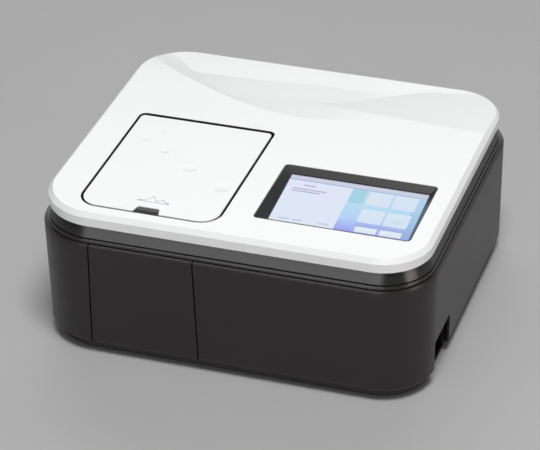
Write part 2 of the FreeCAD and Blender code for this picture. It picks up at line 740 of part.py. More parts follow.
def carriage_drive():
    x = tub_x()
    y0, y1 = P.tub_front + P.wall, P.tub_back - P.wall
    body = rod("nut_body", 6, 16, x, P.carriage_y - 8, P.rod_z, "Y")
    bore = rod("nut_thread", P.screw_radius + 0.05, 30, x, P.carriage_y - 15, P.rod_z, "Y")
    node(cut("nut_cut", body, bore), "carriage_nut")
    for side, label in ((-1, "guide_rod_left"), (1, "guide_rod_right")):
        bar = rod(label + "_bar", P.rod_radius, y1 - y0, x + P.rod_offset * side, y0, P.rod_z, "Y")
        node(bar, label)
    node(rod("screw_bar", P.screw_radius, y1 - y0 + 1, x, y0 + 1.5, P.rod_z, "Y"), "lead_screw")
    motor = block("carriage_motor_block", x - 14, x + 14, P.tub_back, P.tub_back + 26, 48, 76)
    node(rounded("carriage_motor_round", motor, 3, lambda m, s: abs(s.y) > 5), "carriage_motor")


# ---------------------------------------------------------------- optics

def optics_base():
    """The rigid plate that carries the optics, on four stands that reach the floor of the case."""
    plate = slab("bench_plate", 396, 247, 12, P.bench_bottom, P.bench_top, 0, -33.5)
    window = slab("bench_relief", 60, 30, 6, P.bench_bottom - 1, P.bench_top + 1, -70, 55)
    port = block("bench_port", 190, 210, -148, -72, P.bench_bottom - 1, P.bench_top + 1)
    rail = block("bench_rib", -158, -24, -150, -14, P.bench_top, P.tub_bottom)
    hollow = block("bench_rib_gap", -150, -32, -142, -22, P.bench_top, P.tub_bottom + 1)
    base = cut("bench_plate_cut", plate, window, port)
    floor = P.base_bottom + P.wall
    stands, holes = [], []
    for number, (x, y) in enumerate(STAND_POINTS):
        stands.append(rod("bench_stand_%d" % number, 5, P.bench_bottom - floor, x, y, floor))
        holes.append(rod("stand_hole_%d" % number, 1.6, P.bench_bottom - floor - 3, x, y, floor - 1))
    rib = cut("bench_rib_cut", rail, hollow)
    node(cut("bench_cut", fuse("bench_fused", base, rib, *stands), *holes), "optics_base")


def monochromator():
    x0, x1, y0, y1 = P.mono_left, P.mono_right, P.mono_front, P.mono_back
    shell = block("mono_shell", x0, x1, y0, y1, P.bench_top, P.mono_top)
    shell = rounded("mono_round", shell, 4, upright)
    inside = block("mono_inside", x0 + 4, x1 - 4, y0 + 4, y1 - 4, P.mono_bottom, P.mono_top + 1)
    below = block("mono_below", x0 + 4, x1 - 4, y0 + 4, y1 - 4, P.bench_top - 1, P.mono_bottom - 4)
    exit_slit = rod("exit_slit", 5, 12, x0 - 4, P.beam_y, P.beam_z, "X")
    entry = rod("entry_slit", 6, 12, x1 - 8, P.mirror_y, P.beam_z, "X")
    bore = rod("grating_bore", 4, 20, P.grating_x, P.grating_y, P.mono_bottom - 10)
    node(cut("mono_cut", shell, inside, below, exit_slit, entry, bore), "mono_housing")
    lid = block("mono_lid", x0, x1, y0, y1, P.mono_top, P.mono_top + 2.5)
    node(rounded("mono_lid_round", lid, 4, upright), "mono_cover")
    for label, x, radius in (("collimating_mirror", 86, 16), ("focusing_mirror", 40, 16)):
        blank = rod(label + "_blank", radius, 7, x, y1 - 12, P.beam_z, "Y")
        dish = doc.addObject("Part::Sphere", label + "_dish")
        drive(dish, "Radius", 120)
        move(dish, x, y1 - 12 - 118.4, P.beam_z)
        foot = block(label + "_foot", x - 5, x + 5, y1 - 10, y1 - 5, P.mono_bottom, P.beam_z - 12)
        node(fuse(label + "_fused", cut(label + "_cut", blank, dish), foot), label)


def grating_drive():
    x, y, z = P.grating_x, P.grating_y, P.mono_bottom
    table = rod("table_disc", 14, 4, x, y, z + 0.5)
    shaft = rod("table_shaft", 3, 9, x, y, z - 8.5)
    back = block("table_back", x - 14, x + 14, y - 6, y - 2, z + 4.5, z + 36)
    node(fuse("table_fused", table, shaft, back), "grating_turntable")
    node(block("grating_plate", x - 13, x + 13, y - 2, y + 4, z + 6, z + 34), "diffraction_grating")
    motor = rod("grating_motor_can", 14, 20, x, y, z - 29)
    node(rounded("grating_motor_round", motor, 1.5, lambda m, s: True), "grating_motor")


def filter_unit():
    x, y, z = P.wheel_x, P.wheel_y, P.beam_z
    disc = rod("wheel_disc", P.wheel_radius, 3, x, y, z, "X")
    hub = rod("wheel_hub", 4, 6, x, y, z, "X")
    holes = []
    for number in range(8):
        angle = math.radians(45 * number)
        holes.append(rod("wheel_hole_%d" % number, 4.5, 8, x - 2, y + 18 * math.cos(angle),
                         z + 18 * math.sin(angle), "X"))
    node(cut("wheel_cut", fuse("wheel_solid", disc, hub), *holes), "filter_wheel")
    can = rod("filter_can", 9, 9.7, x + 6.3, y, z, "X")
    arm = block("filter_arm", x + 9, x + 15, y - 6, y + 6, P.bench_top, z)
    node(fuse("filter_motor_fused", can, arm), "filter_motor")


def lamp(label, y, radius, tall):
    """A lamp on its ceramic base."""
    base = rod(label + "_base", radius * 0.75, 14, P.lamp_x, y, 52)
    bulb = rod(label + "_bulb", radius, tall, P.lamp_x, y, 66)
    bulb = rounded(label + "_dome", bulb, radius * 0.55, lambda m, s: m.z > 66 + tall - 0.1)
    node(fuse(label + "_fused", base, bulb), label)


def lamp_house():
    shell = block("lamp_shell", 150, 200, -52, 58, P.bench_top, 124)
    inside = block("lamp_inside", 153, 197, -49, 55, 52, 121)
    entry = rod("lamp_exit", 6, 10, 146, P.mirror_y, P.beam_z, "X")
    motor_hole = rod("mirror_hole", 4, 12, P.mirror_x, P.mirror_y, 43)
    under = block("lamp_under", 153, 175, -14, 14, P.bench_top - 1, 49)
    slots = []
    for number in range(7):
        slots.append(block("lamp_slot_%d" % number, 160, 190, -42 + 14 * number, -37 + 14 * number,
                           119, 126))
    node(cut("lamp_cut", shell, inside, entry, motor_hole, under, *slots), "lamp_housing")
    lamp("tungsten_lamp", -30, 9, 38)
    lamp("deuterium_lamp", 34, 13, 44)
    x, y = P.mirror_x, P.mirror_y
    plate = block("flip_plate", x - 1, x + 1, y - 9, y + 9, 82, 106)
    stem = rod("flip_stem", 2.5, 34.5, x, y, 49.5)
    node(fuse("flip_fused", plate, stem), "source_mirror")
    node(rod("flip_motor", 8, 9, x, y, P.bench_top), "source_motor")


def detector():
    body = block("detector_block", -198, -170, P.beam_y - 24, P.beam_y + 24, P.bench_top, 118)
    body = rounded("detector_round", body, 3, upright)
    bore = rod("detector_bore", 8, 24, -190, P.beam_y, P.beam_z, "X")
    seat = rod("detector_seat", 5.1, 12, -200, P.beam_y, P.beam_z, "X")
    node(cut("detector_cut", body, bore, seat), "detector_housing")
    node(rod("detector_glass", 8, 3, -175, P.beam_y, P.beam_z, "X"), "detector_lens")
    board = block("detector_pcb", -199.6, -198, P.beam_y - 22, P.beam_y + 22, 70, 116)
    sensor = rod("detector_can", 5, 8, -198, P.beam_y, P.beam_z, "X")
    node(fuse("detector_board_fused", board, sensor), "detector_board")


# ---------------------------------------------------------------- display and electronics

def corner_points(left, right, front, back, z):
    left, right, front, back, z = [as_size(v).value for v in (left, right, front, back, z)]
    return [(left, front, z), (right, front, z), (right, back, z), (left, back, z)]


def tilted(x, y, z):
    """A point given from the middle of the glass, on the screen's own sloping axes."""
    turn = math.radians(P.screen_tilt.value)
    x, y, z = as_size(x), as_size(y), as_size(z)
    return (P.picture_x + x, P.picture_y + y * math.cos(turn) - z * math.sin(turn),
            P.plate_top - P.screen_drop + y * math.sin(turn) + z * math.cos(turn))


def tilted_block(name, x0, x1, y0, y1, z0, z1):
    """A box between two corners on the screen's sloping axes."""
    x0, x1, y0, y1, z0, z1 = [as_size(v) for v in (x0, x1, y0, y1, z0, z1)]
    obj = doc.addObject("Part::Box", name)
    drive(obj, "Length", x1 - x0)
    drive(obj, "Width", y1 - y0)
    drive(obj, "Height", z1 - z0)
    obj.Placement = Placement(Vector(), Rotation(Vector(1, 0, 0), P.screen_tilt.value))
    move(obj, *tilted(x0, y0, z0))
    return obj


def screen_layer(name, margin, z0, z1):
    """A layer of the screen, larger than the picture by a margin on every side."""
    half_x, half_y = P.picture_width / 2 + margin, P.picture_depth / 2 + margin
    return tilted_block(name, -half_x, half_x, -half_y, half_y, z0, z1)


QUARTERS = [(-1, -1), (1, -1), (1, 1), (-1, 1)]


def display_bezel():
    """The sunk frame whose walls slope down to the tipped screen."""
    x = (P.screen_left + P.screen_right) / 2
    y = (P.screen_front + P.screen_back) / 2
    width, depth = P.screen_right - P.screen_left, P.screen_back - P.screen_front
    glass_top, under = P.plate_top - P.screen_drop, P.plate_top - P.plate_skin
    body = slab("bezel_blank", width - 0.5, depth - 0.5, 4.8, glass_top - 9, P.plate_top - 0.3, x, y)
    flange = slab("bezel_flange", width + 11, depth + 11, 5, glass_top - 1, under, x, y)
    pocket(flange, "flange_hole", width - 4, depth - 4, 3, glass_top - 1.5, under, x, y)
    low = []
    for across, along in QUARTERS:
        corner = tilted(P.picture_width / 2 * across, P.picture_depth / 2 * along, -0.1)
        low.append([value.value for value in corner])
    high = corner_points(P.screen_left + 1, P.screen_right - 1, P.screen_front + 1,
                         P.screen_back - 1, P.plate_top)
    throat = loft("bezel_throat", [polygon("throat_low", low), polygon("throat_high", high)])
    seat = screen_layer("glass_seat", 4, -16, 0)
    node(cut("bezel_cut", fuse("bezel_fused", body, flange), throat, seat), "display_bezel")


def display():
    """The screen's glass and panel, and the board behind them."""
    node(screen_layer("glass_pane", 4, -1.8, 0), "touch_glass")
    node(screen_layer("lcd_block", 2, -7, -1.8), "lcd_module")
    board = screen_layer("board_plate", 0, -12, -10.4)
    half_x, half_y = P.picture_width / 2 - 6, P.picture_depth / 2 - 6
    posts = []
    for number, (across, along) in enumerate(QUARTERS):
        x, y = half_x * across, half_y * along
        posts.append(tilted_block("board_post_%d" % number, x - 2, x + 2, y - 2, y + 2, -10.4, -7))
    chip = tilted_block("board_chip", -9, 9, -9, 9, -14, -12)
    node(fuse("board_fused", board, chip, *posts), "display_board")


def electronics():
    floor = P.base_bottom + P.wall
    board_low, board_top = floor + 5.5, floor + 7.1
    board = block("main_pcb", -40, 180, 82, 168, board_low, board_top)
    parts = [
        block("main_cpu", 40, 70, 110, 140, board_top, board_top + 3.4),
        block("main_ram", 80, 110, 112, 126, board_top, board_top + 1.9),
        block("main_plug_a", -30, -8, 90, 98, board_top, board_top + 9.4),
        block("main_plug_b", -30, -8, 110, 118, board_top, board_top + 9.4),
    ]
    for number in range(4):
        parts.append(rod("main_cap_%d" % number, 4, 12, 130 + 12 * number, 100, board_top))
    for number, (x, y) in enumerate(((-34, 88), (174, 88), (174, 162), (-34, 162))):
        parts.append(rod("main_post_%d" % number, 3, 5.5, x, y, floor))
    node(fuse("main_fused", board, *parts), "main_board")
    case = block("supply_case", -195, -60, 98, 158, floor, 40)
    case = rounded("supply_round", case, 1.5, upright)
    vents = []
    for number in range(10):
        x = -185 + 12 * number
        vents.append(block("supply_vent_%d" % number, x, x + 6, 104, 152, 38, 41))
    node(cut("supply_cut", case, *vents), "power_supply")


def fan_grille(y):
    """Three ring-shaped slots, split by a cross of bars."""
    x, z, reach = P.fan_x, P.fan_z, 30
    rings = []
    for number, radius in enumerate((10, 16, 22)):
        hole = rod("grille_out_%d" % number, radius + 4, 8, x, y - 5, z, "Y")
        core = rod("grille_in_%d" % number, radius, 8, x, y - 5, z, "Y")
        rings.append(cut("grille_ring_%d" % number, hole, core))
    upright_bar = block("grille_bar_a", x - 1.5, x + 1.5, y - 6, y + 4, z - reach, z + reach)
    level_bar = block("grille_bar_b", x - reach, x + reach, y - 6, y + 4, z - 1.5, z + 1.5)
    return cut("grille_slots", group("grille_rings", *rings), upright_bar, level_bar)


def mains_inlet(y):
    """A three-pin mains socket, let into the rear panel."""
    x, z = P.inlet_x, P.inlet_z
    body = block("inlet_body", x - 14, x + 14, y - 24, y, z - 12, z + 12)
    lip = block("inlet_lip", x - 16, x + 16, y, y + 1.5, z - 14, z + 14)
    well = block("inlet_well", x - 12, x + 12, y - 14, y + 5, z - 8, z + 8)
    pins = []
    for number, (dx, dz) in enumerate(((-7, -2), (7, -2), (0, 3))):
        pins.append(block("inlet_pin_%d" % number, x + dx - 1, x + dx + 1, y - 15, y - 2,
                          z + dz - 2, z + dz + 2))
    hollow = cut("inlet_cut", fuse("inlet_solid", body, lip), well)
    node(fuse("inlet_fused", hollow, *pins), "power_inlet")


def rear_side():
    y, x, z = P.rear_y, P.inlet_x, P.inlet_z
    plate = block("rear_plate", -150, 150, y - P.rear_skin, y, 17, 131)
    inlet = block("inlet_hole", x - 14, x + 14, y - 5, y + 5, z - 12, z + 12)
    rocker = block("rocker_hole", P.switch_x - 7, P.switch_x + 7, y - 5, y + 5,
                   P.switch_z - 10.5, P.switch_z + 10.5)
    node(cut("rear_cut", plate, fan_grille(y), inlet, rocker), "rear_panel")
    mains_inlet(y)


def power_switch():
    """A rocker switch: a hollow body and the rocker that tips inside it."""
    x, y, z = P.switch_x, P.rear_y, P.switch_z
    body = block("switch_case", x - 7, x + 7, y - 20, y, z - 10.5, z + 10.5)
    lip = block("switch_lip", x - 8.5, x + 8.5, y, y + 1.5, z - 12.5, z + 12.5)
    well = block("switch_well", x - 5.5, x + 5.5, y - 11, y + 5, z - 9, z + 9)
    node(cut("switch_cut", fuse("switch_solid", body, lip), well), "switch_body")
    cap = rod("rocker_round", 8.4, 10, x - 5, y - 2.5, z, "X")
    front = block("rocker_trim", x - 6, x + 6, y - 14, y - 6, z - 12, z + 12)
    face = rod("rocker_face", 16, 14, x - 7, y + 17.3, z, "X")
    node(cut("rocker_cut", cap, front, face), "switch_rocker")


def cooling_fan():
    x, y, z = P.fan_x, P.rear_y - P.rear_skin, P.fan_z
    frame = block("fan_block", x - 30, x + 30, y - 20, y, z - 30, z + 30)
    frame = rounded("fan_round", frame, 3, lambda m, s: abs(s.y) > 5)
    bore = rod("fan_bore", P.fan_radius, 26, x, y - 23, z, "Y")
    hub = rod("fan_motor", 10, 4, x, y - 20, z, "Y")
    struts = [
        block("fan_strut_a", x - 29, x + 29, y - 20, y - 18, z - 1.5, z + 1.5),
        block("fan_strut_b", x - 1.5, x + 1.5, y - 20, y - 18, z - 29, z + 29),
    ]
    node(fuse("fan_fused", cut("fan_frame_cut", frame, bore), hub, *struts), "fan_frame")
    parts = [rod("rotor_hub", 10, 12, x, y - 15.5, z, "Y")]
    for number in range(7):
        parts.append(rotor_blade(number, x, y - 9.5, z))
    node(fuse("rotor_fused", *parts), "fan_rotor")


def rotor_blade(number, x, y, z):
    """One flat fan blade, pitched 35 degrees and set round the hub."""
    blade = doc.addObject("Part::Box", "fan_blade_%d" % number)
    drive(blade, "Length", 10)
    drive(blade, "Width", 1.4)
    drive(blade, "Height", 17.5)
    around = Rotation(Vector(0, 1, 0), 360 * number / 7)
    pitch = Rotation(Vector(0, 0, 1), 35)
    centre = Placement(Vector(x.value, y.value, z.value), around)
    blade.Placement = centre.multiply(Placement(Vector(0, 0, 8.5), pitch)).multiply(
        Placement(Vector(-5, -0.7, 0), Rotation()))
    return blade


# ---------------------------------------------------------------- build, check and write

PARTS = [
    top_plate, top_frame, casing_and_front_panel, side_port_pocket, usb_side_port, base_pan,
    rubber_feet, case_screws, sample_lid, lid_finger_pull, lid_inner_pan, hinge, lid_catches,
    lid_well, sample_chamber, chamber_seal, chamber_windows, cell_carriage, carriage_drive,
    optics_base, monochromator, grating_drive, filter_unit, lamp_house, detector, display_bezel,
    display,
    electronics, rear_side, power_switch, cooling_fan,
]


def check():
    """Stops the build if any object failed, or any pocket or cut removed nothing."""
    for obj in doc.Objects:
        if "Invalid" in obj.State or "Error" in obj.State:
            raise RuntimeError("%s did not build: %s" % (obj.Label, obj.State))
        if obj.TypeId == "PartDesign::Pocket" and obj.Shape.Volume > obj.BaseFeature.Shape.Volume - 1:
            raise RuntimeError("%s cuts nothing" % obj.Label)
        if obj.TypeId == "Part::Cut" and obj.Shape.Volume > obj.Base.Shape.Volume - 0.1:
            raise RuntimeError("%s cuts nothing" % obj.Label)
    for piece in NODES:
        if piece.Shape.isNull() or not piece.Shape.isValid():
            raise RuntimeError("%s is not a valid solid" % piece.Label)


def write():
    os.makedirs("parts", exist_ok=True)
    for piece in NODES:
        piece.Shape.exportStep("parts/%s.step" % piece.Label)
        box = piece.Shape.BoundBox
        print("%-22s %2d solids  x %7.1f %7.1f  y %7.1f %7.1f  z %6.1f %6.1f  volume %9.0f" % (
            piece.Label, len(piece.Shape.Solids), box.XMin, box.XMax, box.YMin, box.YMax,
            box.ZMin, box.ZMax, piece.Shape.Volume))


for make in PARTS:
    make()
doc.recompute()
check()
write()
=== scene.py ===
"""Looks of the benchtop spectrophotometer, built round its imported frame. Metres."""

import json
import math

import bpy
from mathutils import Matrix, Vector


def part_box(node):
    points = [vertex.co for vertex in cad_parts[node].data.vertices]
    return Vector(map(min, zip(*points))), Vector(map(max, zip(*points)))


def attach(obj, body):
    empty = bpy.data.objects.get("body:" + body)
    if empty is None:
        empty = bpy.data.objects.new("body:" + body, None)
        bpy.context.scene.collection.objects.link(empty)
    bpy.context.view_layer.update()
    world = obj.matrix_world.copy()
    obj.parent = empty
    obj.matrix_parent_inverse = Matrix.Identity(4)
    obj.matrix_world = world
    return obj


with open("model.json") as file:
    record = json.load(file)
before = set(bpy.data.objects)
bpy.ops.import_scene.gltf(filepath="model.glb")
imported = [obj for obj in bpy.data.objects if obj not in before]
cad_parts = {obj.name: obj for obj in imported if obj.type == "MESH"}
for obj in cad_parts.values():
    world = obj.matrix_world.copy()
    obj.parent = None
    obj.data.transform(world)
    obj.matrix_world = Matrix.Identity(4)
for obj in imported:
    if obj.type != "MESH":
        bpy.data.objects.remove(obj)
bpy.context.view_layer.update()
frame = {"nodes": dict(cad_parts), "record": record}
NODES = frame["nodes"]
MM = 0.001

# Shading of the frame's nodes: the edges that stay sharp, in degrees, the least upward part of the
# normal of a face that counts as level, and how close points are joined, in metres.
CORNER_ANGLE = 28.0
CREASE_ANGLE = 0.8
LEVEL = 0.985
WELD_DISTANCE = 0.000005

# Surfaces: scale of the broad mottling, depth of the fine relief in metres, the darkest speckle, and
# the range that most values of a noise texture fall in.
MOTTLE_SCALE = 9.0
RELIEF_DEPTH = 0.0002
SPECKLE = (0.96, 0.96, 0.96)
NOISE_RANGE = (0.25, 0.75)

WHITE = (1, 1, 1)

# Nodes whose finish isn't that of their material slot: the top frame gets a lightened black, a painted
# highlight on its upward-facing shoulder; the lid well gets a darkened black, painted shade in the gap
# round the lid; the side port pocket gets the casing's own black.
NODE_FINISH_AND_PAINTED_LIGHT = {"top_frame": "shoulder_painted_highlight_black", "lid_well": "gap_painted_shade_black",
               "side_port_pocket": "black_casing"}

# The screen, in degrees and millimetres, how brightly its picture glows, and how far noise shifts a
# patch's shading.
SCREEN_TILT = 4.5
PANEL_THICK = 5.2
PICTURE_WIDTH = 154.2
PICTURE_DEPTH = 85.9
LAYER_START = 0.05
LAYER_STEP = 0.12
LAYER_THICK = 0.06
GLOW = 0.97
WOBBLE = 0.08

# The curve printed on the lid, in millimetres, and its peaks: place and spread along the width, height.
MARK_LEFT = -109.0
MARK_BASE = -146.0
MARK_WIDTH = 36.0
MARK_STEPS = 40
MARK_PEAKS = ((0.42, 0.11, 9.5), (0.74, 0.1, 5.5))
INK_THICK = 0.05

# Points along each round corner of a flat piece.
CORNER_STEPS = 5

# Area lights: name, place, aim, width, height, watts and colour.
LIGHTS = (
    ("key", (0.75, -1.2, 4.2), (0, 0, 0.1), 1.4, 1.4, 140, WHITE),
    ("front_panel_light", (-0.35, -3.1, 0.68), (-0.05, 0, 0.15), 2.6, 0.82, 20.5, WHITE),
    ("right_panel_light", (3.2, -0.9, 0.5), (0, 0, 0.12), 1.4, 0.7, 15, (1.0, 0.94, 0.92)),
    ("rear_panel_light", (-1.0, 3.9, 3.4), (0, 0, 0.1), 5.0, 2.2, 68, WHITE),
)
WORLD_COLOR = (1.0, 1.0, 1.005, 1)
WORLD_STRENGTH = 0.13

# The camera: focal length in millimetres, angles in degrees, the point it looks at and its distance.
SENSOR_WIDTH = 36
LENS = 178.2
YAW, PITCH, ROLL = -18.92, 31.95, 1.21
LOOK_AT = (-0.01023, 0, 0.07326)
DISTANCE = 2.988
FAR_LIMIT = 60


# ---------------------------------------------------------------- materials

def new_material(name):
    """A material with its node tree and its shader."""
    material = bpy.data.materials.new(name)
    material.use_nodes = True
    tree = material.node_tree
    shader = tree.nodes["Principled BSDF"]
    return material, tree, shader


def noise(tree, scale, detail=3.0, rough=0.5, stretch=(1, 1, 1)):
    """A noise texture fixed to the object."""
    coord = tree.nodes.new("ShaderNodeTexCoord")
    mapping = tree.nodes.new("ShaderNodeMapping")
    mapping.inputs["Scale"].default_value = stretch
    texture = tree.nodes.new("ShaderNodeTexNoise")
    texture.inputs["Scale"].default_value = scale
    texture.inputs["Detail"].default_value = detail
    texture.inputs["Roughness"].default_value = rough
    tree.links.new(coord.outputs["Object"], mapping.inputs["Vector"])
    tree.links.new(mapping.outputs["Vector"], texture.inputs["Vector"])
    return texture


def spread(tree, source, low, high):
    """Maps the value of a noise texture onto a range."""
    node = tree.nodes.new("ShaderNodeMapRange")
    node.inputs["From Min"].default_value = NOISE_RANGE[0]
    node.inputs["From Max"].default_value = NOISE_RANGE[1]
    node.inputs["To Min"].default_value = low
    node.inputs["To Max"].default_value = high
    tree.links.new(source, node.inputs["Value"])
    return node.outputs["Result"]


def tint(tree, source, first, second):
    """Blends two colours by a value."""
    mix = tree.nodes.new("ShaderNodeMix")
    mix.data_type = "RGBA"
    mix.inputs["A"].default_value = (*first, 1)
    mix.inputs["B"].default_value = (*second, 1)
    tree.links.new(source, mix.inputs["Factor"])
    return mix.outputs["Result"]


def bump(tree, shader, source, strength, distance):
    """Adds fine relief to a shader."""
    node = tree.nodes.new("ShaderNodeBump")
    node.inputs["Strength"].default_value = strength
    node.inputs["Distance"].default_value = distance
    tree.links.new(source, node.inputs["Height"])
    tree.links.new(node.outputs["Normal"], shader.inputs["Normal"])


def finish_material(name, color, rough, grain, relief, vary=0.12, metal=0.0, wear=0.06,
                    stretch=(1, 1, 1), alpha=1.0):
    """A surface with a mottled colour, uneven gloss and fine relief."""
    material, tree, shader = new_material(name)
    broad = noise(tree, MOTTLE_SCALE, 5.0, 0.6)
    fine = noise(tree, grain, 4.0, 0.6, stretch)
    dark = tuple(channel * (1 - vary) for channel in color)
    light = tuple(min(1.0, channel * (1 + vary)) for channel in color)
    shade = tint(tree, spread(tree, broad.outputs["Fac"], 0, 1), dark, light)
    speckle = tint(tree, spread(tree, fine.outputs["Fac"], 0, 1), SPECKLE, WHITE)
    multiply = tree.nodes.new("ShaderNodeMix")
    multiply.data_type = "RGBA"
    multiply.blend_type = "MULTIPLY"
    multiply.inputs["Factor"].default_value = 1.0
    tree.links.new(shade, multiply.inputs["A"])
    tree.links.new(speckle, multiply.inputs["B"])
    tree.links.new(multiply.outputs["Result"], shader.inputs["Base Color"])
    gloss = spread(tree, fine.outputs["Fac"], rough - wear, rough + wear)
    tree.links.new(gloss, shader.inputs["Roughness"])
    shader.inputs["Metallic"].default_value = metal
    shader.inputs["Alpha"].default_value = alpha
    bump(tree, shader, fine.outputs["Fac"], relief, RELIEF_DEPTH)
    return material


def linear(color):
    """A colour given as 0 to 255 screen values, in the renderer's own units."""
    return tuple((value / 255) ** 2.2 for value in color)


def lit_material(name, near, far):
    """A glowing patch of the picture on the screen, shaded from its near edge to its far edge."""
    material, tree, shader = new_material(name)
    coord = tree.nodes.new("ShaderNodeTexCoord")
    split = tree.nodes.new("ShaderNodeSeparateXYZ")
    tree.links.new(coord.outputs["Generated"], split.inputs["Vector"])
    grain = noise(tree, 420.0, 2.0)
    wobble = tree.nodes.new("ShaderNodeMath")
    wobble.operation = "MULTIPLY_ADD"
    wobble.inputs[1].default_value = WOBBLE
    tree.links.new(grain.outputs["Fac"], wobble.inputs[0])
    tree.links.new(split.outputs["Y"], wobble.inputs[2])
    color = tint(tree, wobble.outputs["Value"], linear(near), linear(far))
    tree.links.new(color, shader.inputs["Emission Color"])
    shader.inputs["Base Color"].default_value = (0.015, 0.016, 0.02, 1)
    shader.inputs["Emission Strength"].default_value = GLOW
    shader.inputs["Roughness"].default_value = 0.5
    return material


MATERIALS = {
    "white_cover": finish_material("white_cover", (0.86, 0.865, 0.87), 0.2, 2600, 0.03, 0.008,
                                   wear=0.03),
    "black_casing": finish_material("black_casing", (0.0124, 0.0094, 0.0092), 0.36, 3200, 0.25, 0.08),
    # The top frame: the casing's black plastic made lighter, a painted highlight on the shoulder that
    # faces up; its lower roughness is its real gloss.
    "shoulder_painted_highlight_black": finish_material("shoulder_painted_highlight_black", (0.0205, 0.0195, 0.019), 0.22, 2600, 0.1, 0.08),
    "dark_trim": finish_material("dark_trim", (0.03, 0.03, 0.031), 0.38, 2400, 0.12, 0.08),
    "chamber_black": finish_material("chamber_black", (0.012, 0.012, 0.0125), 0.62, 1800, 0.3, 0.15),
    # The lid well: near-black, darker than the casing plastic, as painted shade in the gap round the
    # lid.
    "gap_painted_shade_black": finish_material("gap_painted_shade_black", (0.006, 0.006, 0.006), 0.7, 1800, 0.3, 0.15),
    "rubber": finish_material("rubber", (0.02, 0.02, 0.02), 0.7, 1500, 0.4, 0.2),
    "steel": finish_material("steel", (0.62, 0.62, 0.63), 0.28, 900, 0.15, 0.06, metal=1.0,
                             stretch=(1, 12, 1)),
    "cast_alloy": finish_material("cast_alloy", (0.55, 0.56, 0.57), 0.5, 1400, 0.35, 0.08, metal=1.0),
    "anodised": finish_material("anodised", (0.03, 0.03, 0.033), 0.42, 1700, 0.15, 0.15, metal=0.6),
    "brass": finish_material("brass", (0.72, 0.52, 0.2), 0.3, 1000, 0.1, 0.08, metal=1.0),
    "optic_glass": finish_material("optic_glass", (0.8, 0.87, 0.9), 0.06, 600, 0.02, 0.03, alpha=0.35,
                                   wear=0.02),
    "mirror": finish_material("mirror", (0.9, 0.91, 0.93), 0.06, 700, 0.01, 0.02, metal=1.0, wear=0.02),
    "screen_glass": finish_material("screen_glass", (0.02, 0.022, 0.025), 0.12, 500, 0.01, 0.1,
                                    alpha=0.06, wear=0.03),
    "lcd": finish_material("lcd", (0.35, 0.42, 0.6), 0.4, 900, 0.05, 0.1),
    "circuit_board": finish_material("circuit_board", (0.02, 0.13, 0.06), 0.4, 1300, 0.2, 0.2),
    "supply_case": finish_material("supply_case", (0.55, 0.56, 0.57), 0.4, 1100, 0.1, 0.06, metal=0.8),
    "rear_metal": finish_material("rear_metal", (0.035, 0.035, 0.037), 0.5, 2200, 0.4, 0.1),
}


def above(tree, value, limit):
    """True where a value is greater than the limit."""
    node = tree.nodes.new("FunctionNodeCompare")
    node.data_type = "FLOAT"
    node.operation = "GREATER_THAN"
    tree.links.new(value, node.inputs["A"])
    node.inputs["B"].default_value = limit
    return node.outputs["Result"]


def logic(tree, operation, first, second):
    """Joins two selections."""
    node = tree.nodes.new("FunctionNodeBooleanMath")
    node.operation = operation
    tree.links.new(first, node.inputs[0])
    tree.links.new(second, node.inputs[1])
    return node.outputs["Boolean"]


def crease_group():
    """Node group: smooth shading, kept sharp at real corners and at the creases of level faces."""
    tree = bpy.data.node_groups.new("creases", "GeometryNodeTree")
    tree.interface.new_socket("Geometry", in_out="INPUT", socket_type="NodeSocketGeometry")
    tree.interface.new_socket("Geometry", in_out="OUTPUT", socket_type="NodeSocketGeometry")
    entry = tree.nodes.new("NodeGroupInput")
    leave = tree.nodes.new("NodeGroupOutput")
    faces = tree.nodes.new("GeometryNodeSetShadeSmooth")
    edges = tree.nodes.new("GeometryNodeSetShadeSmooth")
    edges.domain = "EDGE"
    edges.inputs["Shade Smooth"].default_value = False
    angle = tree.nodes.new("GeometryNodeInputMeshEdgeAngle")
    normal = tree.nodes.new("GeometryNodeInputNormal")
    split = tree.nodes.new("ShaderNodeSeparateXYZ")
    tree.links.new(normal.outputs["Normal"], split.inputs["Vector"])
    corner = above(tree, angle.outputs["Unsigned Angle"], math.radians(CORNER_ANGLE))
    crease = above(tree, angle.outputs["Unsigned Angle"], math.radians(CREASE_ANGLE))
    level = above(tree, split.outputs["Z"], LEVEL)
    both = logic(tree, "AND", crease, level)
    tree.links.new(logic(tree, "OR", corner, both), edges.inputs["Selection"])
    tree.links.new(entry.outputs["Geometry"], faces.inputs["Geometry"])
    tree.links.new(faces.outputs["Geometry"], edges.inputs["Geometry"])
    tree.links.new(edges.outputs["Geometry"], leave.inputs["Geometry"])
    return tree


def dress_frame():
    """Gives every node of the frame its finish, with a painted highlight on the top frame and painted
    shade in the lid well, and its shading.
    """
    slots = {part["node"]: part["material_slot"] for part in frame["record"]["subparts"]}
    creases = crease_group()
    for name, obj in NODES.items():
        obj.data.materials.clear()
        obj.data.materials.append(MATERIALS[NODE_FINISH_AND_PAINTED_LIGHT.get(name, slots[name])])
        weld = obj.modifiers.new("weld", "WELD")
        weld.merge_threshold = WELD_DISTANCE
        obj.modifiers.new("creases", "NODES").node_group = creases
        weighted = obj.modifiers.new("weighted", "WEIGHTED_NORMAL")
        weighted.keep_sharp = True


# ---------------------------------------------------------------- small pieces

def tile(name, x0, x1, y0, y1, z0, z1, material, body, corner=0.0, place=None):
    """A thin flat piece with round corners, sizes in millimetres."""
    points = []
    corners = [(x1 - corner, y0 + corner, -90), (x1 - corner, y1 - corner, 0),
               (x0 + corner, y1 - corner, 90), (x0 + corner, y0 + corner, 180)]
    for cx, cy, start in corners:
        steps = CORNER_STEPS if corner else 1
        for step in range(steps):
            turn = math.radians(start + (90 * step / (steps - 1) if corner else 0))
            points.append((cx + corner * math.cos(turn), cy + corner * math.sin(turn)))
    extruded(name, points, z0, z1, material, body, place)


